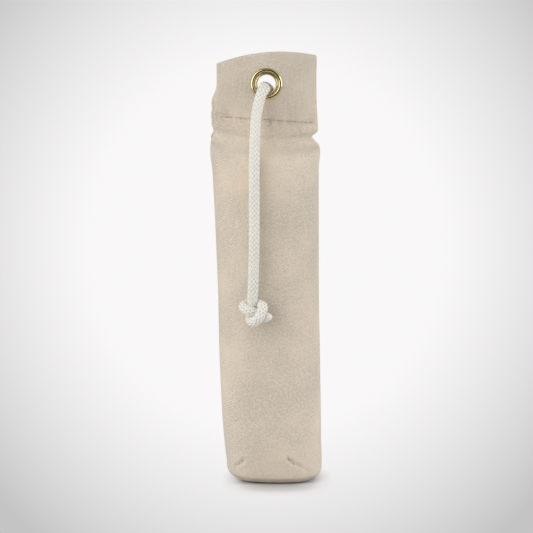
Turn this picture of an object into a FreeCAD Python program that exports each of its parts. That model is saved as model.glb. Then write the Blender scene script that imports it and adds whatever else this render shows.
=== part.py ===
import FreeCAD, Part
import math
import os

import Sketcher
from FreeCAD import Placement, Rotation, Vector

# Training bumper: a stuffed, boxed canvas body with a flat layered tab at its top, a two-piece
# brass eyelet through the tab, and a braided throw rope that comes through the eyelet from
# behind, folds over its lower lip and hangs down the front to a hand knot.
# Millimetres. +Z is up, the front faces -Y, and the origin is the middle of the base.

DIMENSIONS = [
    ("overall_height", 305.0, "base to the highest point of the tab's curved top edge"),
    ("canvas_thickness", 1.0, "one layer of heavy cotton duck"),
    ("base_width", 66.2, "stuffed body at the floor"),
    ("base_depth", 52.0, "stuffed body at the floor"),
    ("base_centre", 6.1, "sideways place of the base: the bumper leans a little"),
    ("base_edge_radius", 8.0, "rounded edge round the base"),
    ("shoulder_height", 205.0, "where the straight sides end"),
    ("shoulder_width", 74.0, "stuffed body at the shoulder"),
    ("shoulder_depth", 56.0, "stuffed body at the shoulder"),
    ("shoulder_centre", -0.3, "sideways place of the shoulder"),
    ("upper_height", 226.0, "half way round the shoulder"),
    ("upper_width", 74.8, "stuffed body there"),
    ("upper_depth", 50.0, "stuffed body there"),
    ("upper_centre", -1.0, "sideways place there"),
    ("brow_height", 239.0, "where the shoulder turns in to the crease"),
    ("brow_width", 75.5, "the widest place"),
    ("brow_depth", 32.0, "stuffed body there"),
    ("brow_centre", -1.4, "sideways place there"),
    ("crease_height", 246.0, "crease between the stuffed body and the tab"),
    ("crease_width", 67.6, "between the two side notches"),
    ("crease_depth", 13.0, "front to back at the crease"),
    ("crease_centre", -2.9, "sideways place of the crease"),
    ("corner_share", 0.34, "upright corner radius as a share of the depth"),
    ("core_gap", 2.4, "canvas outside to foam core, room for the seam allowance"),
    ("tab_bottom", 249.0, "lowest edge of the tab's own layers"),
    ("tab_left", -34.2, "left edge of the tab, upper part"),
    ("tab_right", 34.3, "right edge of the tab"),
    ("left_corner_drop", 8.2, "left top corner, below the overall height"),
    ("right_corner_drop", 2.5, "right top corner, below the overall height"),
    ("top_edge_radius", 121.0, "curve of the tab's top edge"),
    ("left_step_top", 282.0, "where the left edge starts to step out"),
    ("left_step_low", 272.0, "where the left edge ends its step"),
    ("left_step", 2.4, "how far the left edge steps out"),
    ("back_step", 1.4, "how much further the back layer steps out"),
    ("tab_half_thickness", 3.1, "mid plane of the tab to its outer face"),
    ("layer_gap", 0.05, "air between two layers of the tab"),
    ("facing_inset", 1.2, "facing layers stop short of the tab's edges"),
    ("facing_bottom", 252.0, "turned-in canvas ends below the closing seam"),
    ("tuck_fold", 17.0, "mid plane to the inner fold of each side tuck"),
    ("tuck_layer", 0.85, "one leg of a side tuck, pressed"),
    ("tuck_top", 293.0, "top of the side tucks"),
    ("fold_roundness", 1.1, "radius of a pressed fold as a share of half its thickness"),
    ("allowance_width", 11.0, "side seam allowance, pressed flat inside the body"),
    ("allowance_offset", 1.25, "canvas outside to the allowance"),
    ("eyelet_height", 282.4, "middle of the eyelet"),
    ("eyelet_bore", 6.6, "inside radius of the barrel"),
    ("eyelet_wall", 0.5, "sheet brass"),
    ("eyelet_flange", 11.6, "outside radius of the flange"),
    ("eyelet_crown", 1.3, "height of the flange above the canvas"),
    ("eyelet_curl", 8.9, "outside radius of the barrel's curled end"),
    ("washer_radius", 11.2, "outside radius of the back washer"),
    ("washer_thickness", 0.8, "back washer"),
    ("layer_hole", 7.3, "radius of the hole punched in each canvas layer"),
    ("stitch_length", 2.5, "one stitch of the closing seam"),
    ("stitch_pitch", 3.3, "stitch to stitch"),
    ("thread_thickness", 0.5, "heavy sewing thread"),
    ("seam_left", -31.0, "left end of the closing seam"),
    ("seam_left_height", 259.7, "closing seam at its left end"),
    ("seam_right", 32.0, "right end of the closing seam"),
    ("seam_right_height", 255.5, "closing seam at its right end"),
    ("rope_diameter", 7.8, "braided throw rope"),
    ("knot_wrap_radius", 5.5, "rope axis round the middle of a knot"),
    ("knot_rise", 10.0, "middle of a knot to its top"),
    ("rope_end_length", 7.5, "sealed rope end that stands out of a knot"),
]

# The stuffed body's cross-sections, from the floor to the crease.
LEVELS = ("base", "shoulder", "upper", "brow", "crease")
BASE, CREASE = LEVELS[0], LEVELS[-1]

# The rope's axis, end to end: out of the stopper knot behind the tab, up, through the eyelet and
# over its lower lip, out over the shoulder and down the front into the hand knot.
ROPE_ROUTE = [
    (4.2, 13.6, 271.2),
    (2.0, 9.6, 280.1),
    (-2.4, -10.6, 280.1),
    (-6.2, -18.4, 262.6),
    (-7.2, -28.4, 240.0),
    (-7.8, -34.4, 212.0),
    (-7.6, -36.4, 180.0),
    (-8.2, -37.0, 152.0),
    (-8.8, -36.8, 131.0),
]
RUN_SHARE = 0.45           # share of a run that its arc takes up
BEHIND_EYELET = 1          # the route's corner behind the eyelet
BEFORE_EYELET = 2          # the route's corner in front of it, where the rope folds down

HAND_KNOT_MIDDLE = (-9.0, -37.0, 121.8)
STOPPER_KNOT_MIDDLE = (5.0, 14.6, 262.6)
HAND_KNOT_TURN = 110.0     # degrees, each knot lies its own way round
STOPPER_KNOT_TURN = -70.0
WRAP_TILTS = (48.0, -52.0, 8.0)    # degrees, the turns of rope that make a knot
HAND_END_DIRECTION = (0.93, -0.36, -0.06)
STOPPER_END_DIRECTION = (-0.90, 0.30, -0.30)

# Darts that box the base: left or right, start beside the base's middle, and the slope down.
DART_STARTS = ((-15.2, 14.6, 215.0), (19.8, 15.6, -40.0))
DART_STITCHES = 3
DART_STITCH_SHARE = 0.9    # stitches in a dart are a little shorter than in the seam
SURFACE_CLEARANCE = 0.12

PRINT_DIGITS = 2
VOLUME_TOLERANCE = 0.01

doc = FreeCAD.newDocument("training_bumper")
sheet = doc.addObject("Spreadsheet::Sheet", "sizes")
for row, (alias, value, note) in enumerate(DIMENSIONS, start=1):
    sheet.set(f"A{row}", alias)
    sheet.set(f"B{row}", str(value))
    sheet.setAlias(f"B{row}", alias)
    sheet.set(f"C{row}", note)
doc.recompute()


def size(alias):
    """Value of one named cell."""
    return float(getattr(sheet, alias))


# ---------------------------------------------------------------- sketches

ORIGIN_POINT = (-1, 1)
START, END = 1, 2


def value_of(owner, expression):
    return float(owner.evalExpression(str(expression)))


def bind_constraint(sketch, constraint, expression):
    index = sketch.addConstraint(constraint)
    sketch.setExpression(f"Constraints[{index}]", str(expression))


def hold_point(sketch, edge, point, across, up):
    """Hold a point of the sketch at two expressions."""
    for kind, expression in (("DistanceX", across), ("DistanceY", up)):
        value = value_of(sketch, expression)
        constraint = Sketcher.Constraint(kind, *ORIGIN_POINT, edge, point, value)
        bind_constraint(sketch, constraint, expression)


def arc_between(first, last, radius):
    """Arc that turns anticlockwise from first to last."""
    chord = last - first
    height = math.sqrt(radius ** 2 - (chord.Length / 2) ** 2)
    inward = Vector(-chord.y, chord.x, 0).normalize()
    centre = (first + last) / 2 + inward * height
    angles = [math.atan2(end.y - centre.y, end.x - centre.x) for end in (first, last)]
    circle = Part.Circle(centre, Vector(0, 0, 1), radius)
    return Part.ArcOfCircle(circle, angles[0], angles[1])


def draw_outline(sketch, corners, arcs=None):
    """Closed outline, anticlockwise. arcs: edge number to its radius, negative if hollow."""
    arcs = arcs or {}
    points = [Vector(*(value_of(sketch, expression) for expression in corner)) for corner in corners]
    ends = []
    for number, first in enumerate(points):
        last = points[(number + 1) % len(points)]
        radius = arcs.get(number)
        if radius is None:
            edge = sketch.addGeometry(Part.LineSegment(first, last))
            ends.append((edge, START, END))
        elif value_of(sketch, radius) > 0:
            edge = sketch.addGeometry(arc_between(first, last, value_of(sketch, radius)))
            ends.append((edge, START, END))
        else:
            edge = sketch.addGeometry(arc_between(last, first, -value_of(sketch, radius)))
            ends.append((edge, END, START))
    for number, (edge, start, end) in enumerate(ends):
        following, its_start, _ = ends[(number + 1) % len(ends)]
        sketch.addConstraint(Sketcher.Constraint("Coincident", edge, end, following, its_start))
        hold_point(sketch, edge, start, *corners[number])
    for number, radius in arcs.items():
        value = value_of(sketch, radius)
        is_hollow = value < 0
        expression = f"-({radius})" if is_hollow else radius
        bind_constraint(sketch, Sketcher.Constraint("Radius", ends[number][0], abs(value)), expression)


def draw_circle(sketch, radius, up):
    circle = Part.Circle(Vector(0, value_of(sketch, up), 0), Vector(0, 0, 1), value_of(sketch, radius))
    edge = sketch.addGeometry(circle)
    sketch.addConstraint(Sketcher.Constraint("PointOnObject", edge, 3, -2))
    middle = Sketcher.Constraint("DistanceY", *ORIGIN_POINT, edge, 3, value_of(sketch, up))
    bind_constraint(sketch, middle, up)
    bind_constraint(sketch, Sketcher.Constraint("Radius", edge, value_of(sketch, radius)), radius)


def new_body(label):
    body = doc.addObject("PartDesign::Body", label)
    body.Label = label
    return body


def new_sketch(body, name, plane, offset="0"):
    """Sketch on one of the body's own planes, moved along that plane's normal."""
    support = next(item for item in body.Origin.OriginFeatures if item.Role == plane)
    sketch = body.newObject("Sketcher::SketchObject", name)
    sketch.AttachmentSupport = [(support, "")]
    sketch.MapMode = "FlatFace"
    sketch.setExpression("AttachmentOffset.Base.z", str(offset))
    return sketch


def pad(body, sketch, name, length):
    feature = body.newObject("PartDesign::Pad", name)
    feature.Profile = sketch
    feature.setExpression("Length", str(length))
    return feature


def revolve(body, sketch, name):
    """Full turn about the sketch's upright axis."""
    feature = body.newObject("PartDesign::Revolution", name)
    feature.Profile = sketch
    feature.ReferenceAxis = (sketch, ["V_Axis"])
    feature.Angle = 360.0
    return feature


# ---------------------------------------------------------------- stuffed body

def section_sketch(body, level, inset):
    """Rounded box section at one level, drawn in by inset all round."""
    if level == BASE:
        height = f"{inset}"
    else:
        height = f"sizes.{level}_height"
    if level == CREASE:
        height += f" - {inset}"
    half_width = f"(sizes.{level}_width / 2 - {inset})"
    half_depth = f"(sizes.{level}_depth / 2 - {inset})"
    centre = f"sizes.{level}_centre"
    radius = f"(sizes.{level}_depth * sizes.corner_share - {inset})"
    left, right = f"({centre} - {half_width})", f"({centre} + {half_width})"
    short = f"({half_depth} - {radius})"
    corners = [
        (right, f"-{short}"),
        (right, short),
        (f"{right} - {radius}", half_depth),
        (f"{left} + {radius}", half_depth),
        (left, short),
        (left, f"-{short}"),
        (f"{left} + {radius}", f"-{half_depth}"),
        (f"{right} - {radius}", f"-{half_depth}"),
    ]
    sketch = new_sketch(body, f"{body.Name}_{level}", "XY_Plane", height)
    draw_outline(sketch, corners, {1: radius, 3: radius, 5: radius, 7: radius})
    return sketch


def ruled_loft(body, sections, name):
    feature = body.newObject("PartDesign::AdditiveLoft", name)
    feature.Profile = sections[0]
    feature.Sections = sections[1:]
    feature.Ruled = True
    return feature


def stuffed_form(label, inset):
    """Boxed body from the floor to the crease, with a rounded base edge."""
    body = new_body(label)
    sections = [section_sketch(body, level, inset) for level in LEVELS]
    ruled_loft(body, sections[:2], f"{label}_sides")
    loft = ruled_loft(body, sections[1:], f"{label}_shoulder")
    doc.recompute()
    floor = value_of(body, inset)
    around_base = [
        f"Edge{number}"
        for number, edge in enumerate(loft.Shape.Edges, start=1)
        if edge.BoundBox.ZMax - floor < SURFACE_CLEARANCE
    ]
    rounding = body.newObject("PartDesign::Fillet", f"{label}_base_edge")
    rounding.Base = (loft, around_base)
    rounding.setExpression("Radius", f"sizes.base_edge_radius - {inset}")
    return body


def canvas_body():
    """Canvas cover of the stuffed part: the outer form less the space inside it."""
    outside = stuffed_form("canvas_outside", "0")
    inside = stuffed_form("canvas_inside", "sizes.canvas_thickness")
    cover = doc.addObject("Part::Cut", "canvas_body")
    cover.Base = outside
    cover.Tool = inside
    return cover


def seam_allowance():
    """Strip of canvas pressed flat inside the left wall, along the side seam."""
    body = new_body("side_seam_allowance")
    sketch = new_sketch(body, "allowance_outline", "XZ_Plane", "-sizes.allowance_width / 2")
    low = "(sizes.base_edge_radius + sizes.canvas_thickness)"
    high = "(sizes.shoulder_height - sizes.base_edge_radius)"
    base_left = "(sizes.base_centre - sizes.base_width / 2)"
    shoulder_left = "(sizes.shoulder_centre - sizes.shoulder_width / 2)"
    lean = f"(({shoulder_left} - {base_left}) / sizes.shoulder_height)"
    near, far = "sizes.allowance_offset", "(sizes.allowance_offset + sizes.canvas_thickness)"
    draw_outline(sketch, [
        (f"{base_left} + {lean} * {low} + {near}", low),
        (f"{base_left} + {lean} * {low} + {far}", low),
        (f"{base_left} + {lean} * {high} + {far}", high),
        (f"{base_left} + {lean} * {high} + {near}", high),
    ])
    pad(body, sketch, "allowance_strip", "sizes.allowance_width")
    return body


# ---------------------------------------------------------------- tab

def tab_outline(sketch, inset, step, bottom):
    """Front view of the tab: curved top, straight right edge, stepped left edge."""
    left = f"(sizes.tab_left + {inset})"
    right = f"(sizes.tab_right - {inset})"
    left_top = f"(sizes.overall_height - sizes.left_corner_drop - {inset})"
    right_top = f"(sizes.overall_height - sizes.right_corner_drop - {inset})"
    draw_outline(sketch, [
        (f"{left} - {step}", bottom),
        (right, bottom),
        (right, right_top),
        (left, left_top),
        (left, "sizes.left_step_top"),
        (f"{left} - {step}", "sizes.left_step_low"),
    ], {2: "sizes.top_edge_radius"})


def tab_layer(label, outer_face, inset, step, bottom):
    """One flat layer of canvas; its outer face is given along the plane's normal, to the front."""
    body = new_body(label)
    inner_face = f"{outer_face} - sizes.canvas_thickness"
    sketch = new_sketch(body, f"{label}_outline", "XZ_Plane", inner_face)
    tab_outline(sketch, inset, step, bottom)
    draw_circle(sketch, "sizes.layer_hole", "sizes.eyelet_height")
    pad(body, sketch, f"{label}_sheet", "sizes.canvas_thickness")
    return body


def side_tuck(label, side, edge):
    """Pressed inward fold of canvas between the layers; side is 1 on the right, -1 on the left."""
    body = new_body(label)
    sketch = new_sketch(body, f"{label}_fold", "XY_Plane", "sizes.tab_bottom")
    gap, outer = "sizes.layer_gap * 2", "(sizes.layer_gap * 2 + sizes.tuck_layer)"
    fold = f"({side} * sizes.tuck_fold)"
    corners = [
        (edge, f"-{outer}"), (edge, f"-({gap})"), (fold, f"-({gap})"),
        (fold, gap), (edge, gap), (edge, outer),
        (fold, outer), (fold, f"-{outer}"),
    ]
    arcs = {2: f"-({gap}) * sizes.fold_roundness", 6: f"{outer} * sizes.fold_roundness"}
    if side < 0:
        corners = [(across, f"-({up})") for across, up in corners]
    draw_outline(sketch, corners, arcs)
    pad(body, sketch, f"{label}_canvas", "sizes.tuck_top - sizes.tab_bottom")
    return body


def tab_layers():
    half = "sizes.tab_half_thickness"
    canvas = "sizes.canvas_thickness"
    gap = "sizes.layer_gap"
    step = "sizes.left_step"
    facing_face = f"({half} - {canvas} - {gap})"
    plain = ("0", step, "sizes.tab_bottom")
    wide = ("0", f"({step} + sizes.back_step)", "sizes.tab_bottom")
    facing = ("sizes.facing_inset", step, "sizes.facing_bottom")
    return [
        tab_layer("tab_front", half, *plain),
        tab_layer("facing_front", facing_face, *facing),
        tab_layer("facing_back", f"{canvas} - {facing_face}", *facing),
        tab_layer("tab_back", f"{canvas} - {half}", *wide),
        side_tuck("tuck_right", 1, "(sizes.tab_right - sizes.facing_inset)"),
        side_tuck("tuck_left", -1, "(sizes.tab_left + sizes.facing_inset)"),
    ]


# ---------------------------------------------------------------- eyelet

def turned_ring(label, corners, arcs):
    """Ring turned about the eyelet's axis; corners are radius, then distance to the back."""
    body = new_body(label)
    sketch = new_sketch(body, f"{label}_profile", "XY_Plane")
    draw_outline(sketch, corners, arcs)
    revolve(body, sketch, f"{label}_turned")
    body.setExpression("Placement.Base.z", "sizes.eyelet_height")
    return body


def eyelet():
    """Brass barrel with a crowned flange in front and its end curled over the washer behind."""
    bore, outer = "sizes.eyelet_bore", "(sizes.eyelet_bore + sizes.eyelet_wall)"
    rim, curl = "sizes.eyelet_flange", "sizes.eyelet_curl"
    crown = "sizes.eyelet_crown"
    face = "(sizes.tab_half_thickness + sizes.layer_gap)"
    seat = f"({face} + sizes.washer_thickness + sizes.layer_gap)"
    end = f"({seat} + sizes.eyelet_wall)"
    return turned_ring("eyelet", [
        (bore, f"-{face}"),
        (f"{bore} + {crown}", f"-({face} + {crown})"),
        (f"{rim} - {crown}", f"-({face} + {crown})"),
        (rim, f"-{face}"),
        (outer, f"-{face}"),
        (outer, seat),
        (curl, seat),
        (curl, end),
        (outer, end),
        (bore, seat),
    ], {0: crown, 2: crown})


def washer():
    """Back half of the eyelet, clamped between the canvas and the curled barrel."""
    inner = "(sizes.eyelet_bore + sizes.eyelet_wall + sizes.layer_gap)"
    near = "(sizes.tab_half_thickness + sizes.layer_gap)"
    far = f"({near} + sizes.washer_thickness)"
    bevel = "sizes.washer_thickness / 2"
    return turned_ring("eyelet_washer", [
        (inner, near),
        ("sizes.washer_radius", near),
        ("sizes.washer_radius", f"{near} + {bevel}"),
        (f"sizes.washer_radius - {bevel}", far),
        (inner, far),
    ], {2: bevel})


# ---------------------------------------------------------------- stitching

def stitch(name, middle, slope, length, facing_front):
    """One straight stitch, its inner face at middle; slope is in degrees, seen from the front."""
    box = doc.addObject("Part::Box", name)
    thread = "sizes.thread_thickness"
    box.setExpression("Length", length)
    box.setExpression("Width", thread)
    box.setExpression("Height", thread)
    turn = Rotation(Vector(0, 1, 0), -slope)
    half_length = value_of(box, length) / 2
    half_thread = size("thread_thickness") / 2
    outward = -2 * half_thread if facing_front else 0.0
    corner = turn.multVec(Vector(-half_length, 0, -half_thread))
    box.Placement = Placement(Vector(*middle) + corner + Vector(0, outward, 0), turn)
    return box


def stitch_group(label, stitches):
    group = doc.addObject("Part::Compound", label)
    group.Links = stitches
    return group


def closing_seam():
    """Lockstitch across the tab, front and back, that shuts the cover over the filling."""
    run = size("seam_right") - size("seam_left")
    fall = size("seam_right_height") - size("seam_left_height")
    count = int(run / size("stitch_pitch")) + 1
    slope = math.degrees(math.atan2(fall, run))
    stitches = []
    for front in (True, False):
        depth = size("tab_half_thickness") + SURFACE_CLEARANCE
        for number in range(count):
            along = number / (count - 1)
            x = size("seam_left") + run * along
            z = size("seam_left_height") + fall * along
            y = -depth if front else depth
            stitches.append(stitch("seam_stitch", (x, y, z), slope, "sizes.stitch_length", front))
    return stitch_group("closing_seam_thread", stitches)


def body_face(x, z):
    """Half depth of the stuffed body at a place on its front or back, below the shoulder."""
    share = z / size("shoulder_height")
    width, depth, centre = (
        size(f"base_{name}") + (size(f"shoulder_{name}") - size(f"base_{name}")) * share
        for name in ("width", "depth", "centre")
    )
    radius = depth * size("corner_share")
    past_flat = max(0.0, abs(x - centre) - (width / 2 - radius))
    return depth / 2 - radius + math.sqrt(radius ** 2 - past_flat ** 2)


def dart_thread():
    """Short stitches at the points of the four darts that box the base."""
    length_bound = f"sizes.stitch_length * {DART_STITCH_SHARE}"
    length = size("stitch_length") * DART_STITCH_SHARE
    pitch = size("stitch_pitch") * DART_STITCH_SHARE
    stitches = []
    for start_x, start_z, slope in DART_STARTS:
        ray = Vector(math.cos(math.radians(slope)), 0, math.sin(math.radians(slope)))
        for number in range(DART_STITCHES):
            middle = Vector(start_x, 0, start_z) + ray * (number * pitch)
            places = [middle + ray * (length * share) for share in (-0.5, 0.0, 0.5)]
            reach = max(body_face(place.x, place.z) for place in places) + SURFACE_CLEARANCE
            for front, y in ((True, -reach), (False, reach)):
                place = (middle.x, y, middle.z)
                stitches.append(stitch("dart_stitch", place, slope, length_bound, front))
    return stitch_group("dart_thread", stitches)


# ---------------------------------------------------------------- rope

def route_corners():
    """Each inner point of the route with its arc: start, middle, end, radius and turn."""
    points = [Vector(*point) for point in ROPE_ROUTE]
    corners = []
    for before, corner, after in zip(points, points[1:], points[2:]):
        arriving, leaving = (corner - before).normalize(), (after - corner).normalize()
        turn = arriving.getAngle(leaving)
        reach = RUN_SHARE * min((corner - before).Length, (after - corner).Length)
        radius = reach / math.tan(turn / 2)
        inward = (leaving - arriving).normalize()
        middle = corner + inward * (radius / math.cos(turn / 2) - radius)
        corners.append((corner - arriving * reach, middle, corner + leaving * reach, radius, turn))
    return corners


def rope_edges():
    """Straight runs and arcs of the whole axis, split in the middle of the eyelet."""
    corners = route_corners()
    middle = (Vector(*ROPE_ROUTE[BEHIND_EYELET]) + Vector(*ROPE_ROUTE[BEFORE_EYELET])) / 2
    place = Vector(*ROPE_ROUTE[0])
    stretches = [[]]
    for number, (start, top, end, _, _) in enumerate(corners, start=1):
        if number == BEFORE_EYELET:
            stretches[-1].append(Part.LineSegment(place, middle))
            stretches.append([])
            place = middle
        stretches[-1].append(Part.LineSegment(place, start))
        stretches[-1].append(Part.Arc(start, top, end))
        place = end
        if number == BEFORE_EYELET:
            stretches.append([])
    stretches[-1].append(Part.LineSegment(place, Vector(*ROPE_ROUTE[-1])))
    return stretches


def rope_stretch(label, curves):
    """Round tube along one stretch of the axis."""
    radius = size("rope_diameter") / 2
    path = Part.Wire([curve.toShape() for curve in curves])
    start = curves[0].value(curves[0].FirstParameter)
    heading = curves[0].tangent(curves[0].FirstParameter)[0]
    section = Part.Wire([Part.Circle(start, heading, radius).toShape()])
    tube = doc.addObject("Part::Feature", label)
    tube.Shape = Part.Solid(path.makePipeShell([section], True, True))
    tube.Placement = Placement()
    expected = math.pi * radius ** 2 * path.Length
    print(f"{label}: axis {path.Length:.1f} mm, volume {tube.Shape.Volume:.0f}, expected {expected:.0f} mm3")
    if abs(tube.Shape.Volume / expected - 1) > VOLUME_TOLERANCE:
        raise RuntimeError(f"{label} has the wrong volume")
    return tube


def rope():
    for number, (_, _, _, radius, turn) in enumerate(route_corners(), start=1):
        print(f"rope point {number}: arc radius {radius:.1f} mm, turn {math.degrees(turn):.1f} degrees")
    labels = ("rope_back_leg", "rope_front_bend", "rope_front_leg")
    return [rope_stretch(label, curves) for label, curves in zip(labels, rope_edges())]


def knot(label, middle, turn):
    """Overhand knot drawn tight: turns of rope about a solid middle."""
    place = Placement(Vector(*middle), Rotation(Vector(0, 0, 1), turn))
    heart = doc.addObject("Part::Ellipsoid", f"{label}_heart")
    heart.setExpression("Radius1", "sizes.knot_rise")
    heart.setExpression("Radius2", "sizes.knot_wrap_radius + sizes.rope_diameter * 0.3")
    heart.setExpression("Radius3", "sizes.knot_wrap_radius + sizes.rope_diameter * 0.3")
    heart.Angle1 = -90.0
    heart.Placement = place
    pieces = [heart]
    for tilt in WRAP_TILTS:
        wrap = doc.addObject("Part::Torus", f"{label}_wrap")
        wrap.setExpression("Radius1", "sizes.knot_wrap_radius")
        wrap.setExpression("Radius2", "sizes.rope_diameter / 2")
        wrap.Placement = place.multiply(Placement(Vector(), Rotation(Vector(0, 1, 0), tilt)))
        pieces.append(wrap)
    whole = doc.addObject("Part::MultiFuse", label)
    whole.Shapes = pieces
    return whole


def rope_end(label, middle, direction):
    """Melted, rounded end of the rope standing out of a knot."""
    body = new_body(label)
    sketch = new_sketch(body, f"{label}_profile", "XY_Plane")
    radius, dome = "(sizes.rope_diameter / 2)", "(sizes.rope_diameter / 4)"
    low = "sizes.knot_wrap_radius"
    top = f"({low} + sizes.rope_end_length)"
    draw_outline(sketch, [
        ("0", low),
        (radius, low),
        (radius, f"{top} - {dome}"),
        (f"{radius} - {dome}", top),
        ("0", top),
    ], {2: dome})
    revolve(body, sketch, f"{label}_turned")
    body.Placement = Placement(Vector(*middle), Rotation(Vector(0, 1, 0), Vector(*direction)))
    return body


# ---------------------------------------------------------------- build, check and write

def build():
    return [
        canvas_body(),
        stuffed_form("foam_core", "sizes.core_gap"),
        seam_allowance(),
        *tab_layers(),
        eyelet(),
        washer(),
        closing_seam(),
        dart_thread(),
        *rope(),
        knot("hand_knot", HAND_KNOT_MIDDLE, HAND_KNOT_TURN),
        rope_end("hand_knot_end", HAND_KNOT_MIDDLE, HAND_END_DIRECTION),
        knot("stopper_knot", STOPPER_KNOT_MIDDLE, STOPPER_KNOT_TURN),
        rope_end("stopper_knot_end", STOPPER_KNOT_MIDDLE, STOPPER_END_DIRECTION),
    ]


def check(parts):
    for item in doc.Objects:
        if "Invalid" in item.State or "Error" in item.State:
            raise RuntimeError(f"{item.Label} did not compute: {item.State}")
    for part in parts:
        if part.Shape.isNull() or not part.Shape.isValid():
            raise RuntimeError(f"{part.Label} has no valid shape")


parts = build()
doc.recompute()
check(parts)
os.makedirs("parts", exist_ok=True)
for part in parts:
    part.Shape.exportStep(f"parts/{part.Label}.step")
    box = part.Shape.optimalBoundingBox(False)
    low = [round(value, PRINT_DIGITS) for value in (box.XMin, box.YMin, box.ZMin)]
    high = [round(value, PRINT_DIGITS) for value in (box.XMax, box.YMax, box.ZMax)]
    print(part.Label, low, high, f"{part.Shape.Volume:.0f} mm3", f"{len(part.Shape.Solids)} solids")
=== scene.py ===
"""Looks of the training bumper: a stuffed canvas cover with a tab, a brass eyelet and a braided throw rope.

Lengths in this file are millimetres, except where a name ends in _m, and become metres where a mesh or a
frame call takes them. X is to the right, -Y is the face with the rope's hanging end, and Z is up.
"""

import math

import bmesh
import bpy
import numpy as np
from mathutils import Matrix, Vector, noise
from mathutils.geometry import tessellate_polygon
from mathutils.bvhtree import BVHTree


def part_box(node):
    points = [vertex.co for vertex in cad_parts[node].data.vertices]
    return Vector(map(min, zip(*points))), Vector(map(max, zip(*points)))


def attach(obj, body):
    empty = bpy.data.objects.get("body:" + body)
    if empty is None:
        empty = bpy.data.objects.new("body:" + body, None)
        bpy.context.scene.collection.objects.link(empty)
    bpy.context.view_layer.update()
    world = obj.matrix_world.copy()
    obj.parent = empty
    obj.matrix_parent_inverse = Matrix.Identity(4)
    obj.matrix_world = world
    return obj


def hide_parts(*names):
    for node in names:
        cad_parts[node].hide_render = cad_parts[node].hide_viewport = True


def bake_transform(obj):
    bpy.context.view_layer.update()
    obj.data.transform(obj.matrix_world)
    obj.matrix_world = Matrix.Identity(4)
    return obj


MM = 0.001
TAU = 2 * math.pi

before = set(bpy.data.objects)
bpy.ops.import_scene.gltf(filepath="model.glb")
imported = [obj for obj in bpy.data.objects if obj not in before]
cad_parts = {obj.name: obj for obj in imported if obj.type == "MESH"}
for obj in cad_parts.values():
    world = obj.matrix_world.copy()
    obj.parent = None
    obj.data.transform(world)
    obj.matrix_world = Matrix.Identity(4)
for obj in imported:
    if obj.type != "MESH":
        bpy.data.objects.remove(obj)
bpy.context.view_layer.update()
EYELET = np.mean([list(corner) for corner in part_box("eyelet")], axis=0) / MM     # its centre


# ---------------------------------------------------------------- small helpers

def box_mm(node):
    """A CAD node's lowest and highest corner, in millimetres."""
    low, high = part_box(node)
    return np.array(low) / MM, np.array(high) / MM


def smooth_step(value, start, end):
    """0 before start, 1 after end, and an S-shaped ramp between them. start may be the larger one."""
    share = np.clip((np.asarray(value, float) - start) / (end - start), 0, 1)
    return share * share * (3 - 2 * share)


def bump(value, middle, half_width):
    """A bell of height 1 at middle, which has died away by about twice half_width from it."""
    return np.exp(-((np.asarray(value, float) - middle) / half_width) ** 2)


def noise_at(x, y, z=0.0):
    """Smooth noise between about -1 and 1, the same on each run, for arrays of places."""
    x, y, z = np.broadcast_arrays(np.asarray(x, float), y, z)
    flat = [noise.noise(Vector(place)) for place in zip(x.ravel(), y.ravel(), z.ravel())]
    return np.array(flat).reshape(x.shape)


def soft_curve(at, places, values):
    """A smooth curve through a few points, with no overshoot between them."""
    places, values = np.asarray(places, float), np.asarray(values, float)
    run = np.diff(places)
    rise = np.diff(values) / run
    slope = np.zeros(len(values))
    turns = rise[:-1] * rise[1:] > 0
    weight_a, weight_b = 2 * run[1:] + run[:-1], run[1:] + 2 * run[:-1]
    safe_a, safe_b = np.where(turns, rise[:-1], 1), np.where(turns, rise[1:], 1)
    inner = (weight_a + weight_b) / (weight_a / safe_a + weight_b / safe_b)
    slope[1:-1] = np.where(turns, inner, 0)
    slope[0], slope[-1] = rise[0], rise[-1]
    at = np.clip(at, places[0], places[-1])
    piece = np.clip(np.searchsorted(places, at) - 1, 0, len(run) - 1)
    share = (at - places[piece]) / run[piece]
    start, end = values[piece], values[piece + 1]
    slope_a, slope_b = slope[piece] * run[piece], slope[piece + 1] * run[piece]
    return (
        start * (1 + 2 * share) * (1 - share) ** 2
        + slope_a * share * (1 - share) ** 2
        + end * share ** 2 * (3 - 2 * share)
        - slope_b * share ** 2 * (1 - share)
    )


def arc_length(points):
    """How far along a line each of its points lies."""
    return np.concatenate([[0], np.cumsum(np.linalg.norm(np.diff(points, axis=0), axis=1))])


def ring_quads(rings, sides, base=0, closed=False):
    """Faces between rings of points. In a closed surface the last ring joins the first."""
    faces = []
    for ring in range(rings if closed else rings - 1):
        here, there = base + ring * sides, base + (ring + 1) % rings * sides
        for side in range(sides):
            after = (side + 1) % sides
            faces.append((here + side, here + after, there + after, there + side))
    return faces


def make_object(name, points, faces, material, corner_uvs=None):
    """A smooth-shaded mesh object from points in millimetres."""
    mesh = bpy.data.meshes.new(name)
    mesh.from_pydata((np.asarray(points, float) * MM).tolist(), [], faces)
    if corner_uvs is not None:
        layer = mesh.uv_layers.new(name="flat")
        layer.data.foreach_set("uv", np.asarray(corner_uvs, np.float32).ravel())
    mesh.polygons.foreach_set("use_smooth", [True] * len(mesh.polygons))
    if material is not None:
        mesh.materials.append(material)
    mesh.update()
    made = bpy.data.objects.new(name, mesh)
    bpy.context.scene.collection.objects.link(made)
    return made


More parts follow.
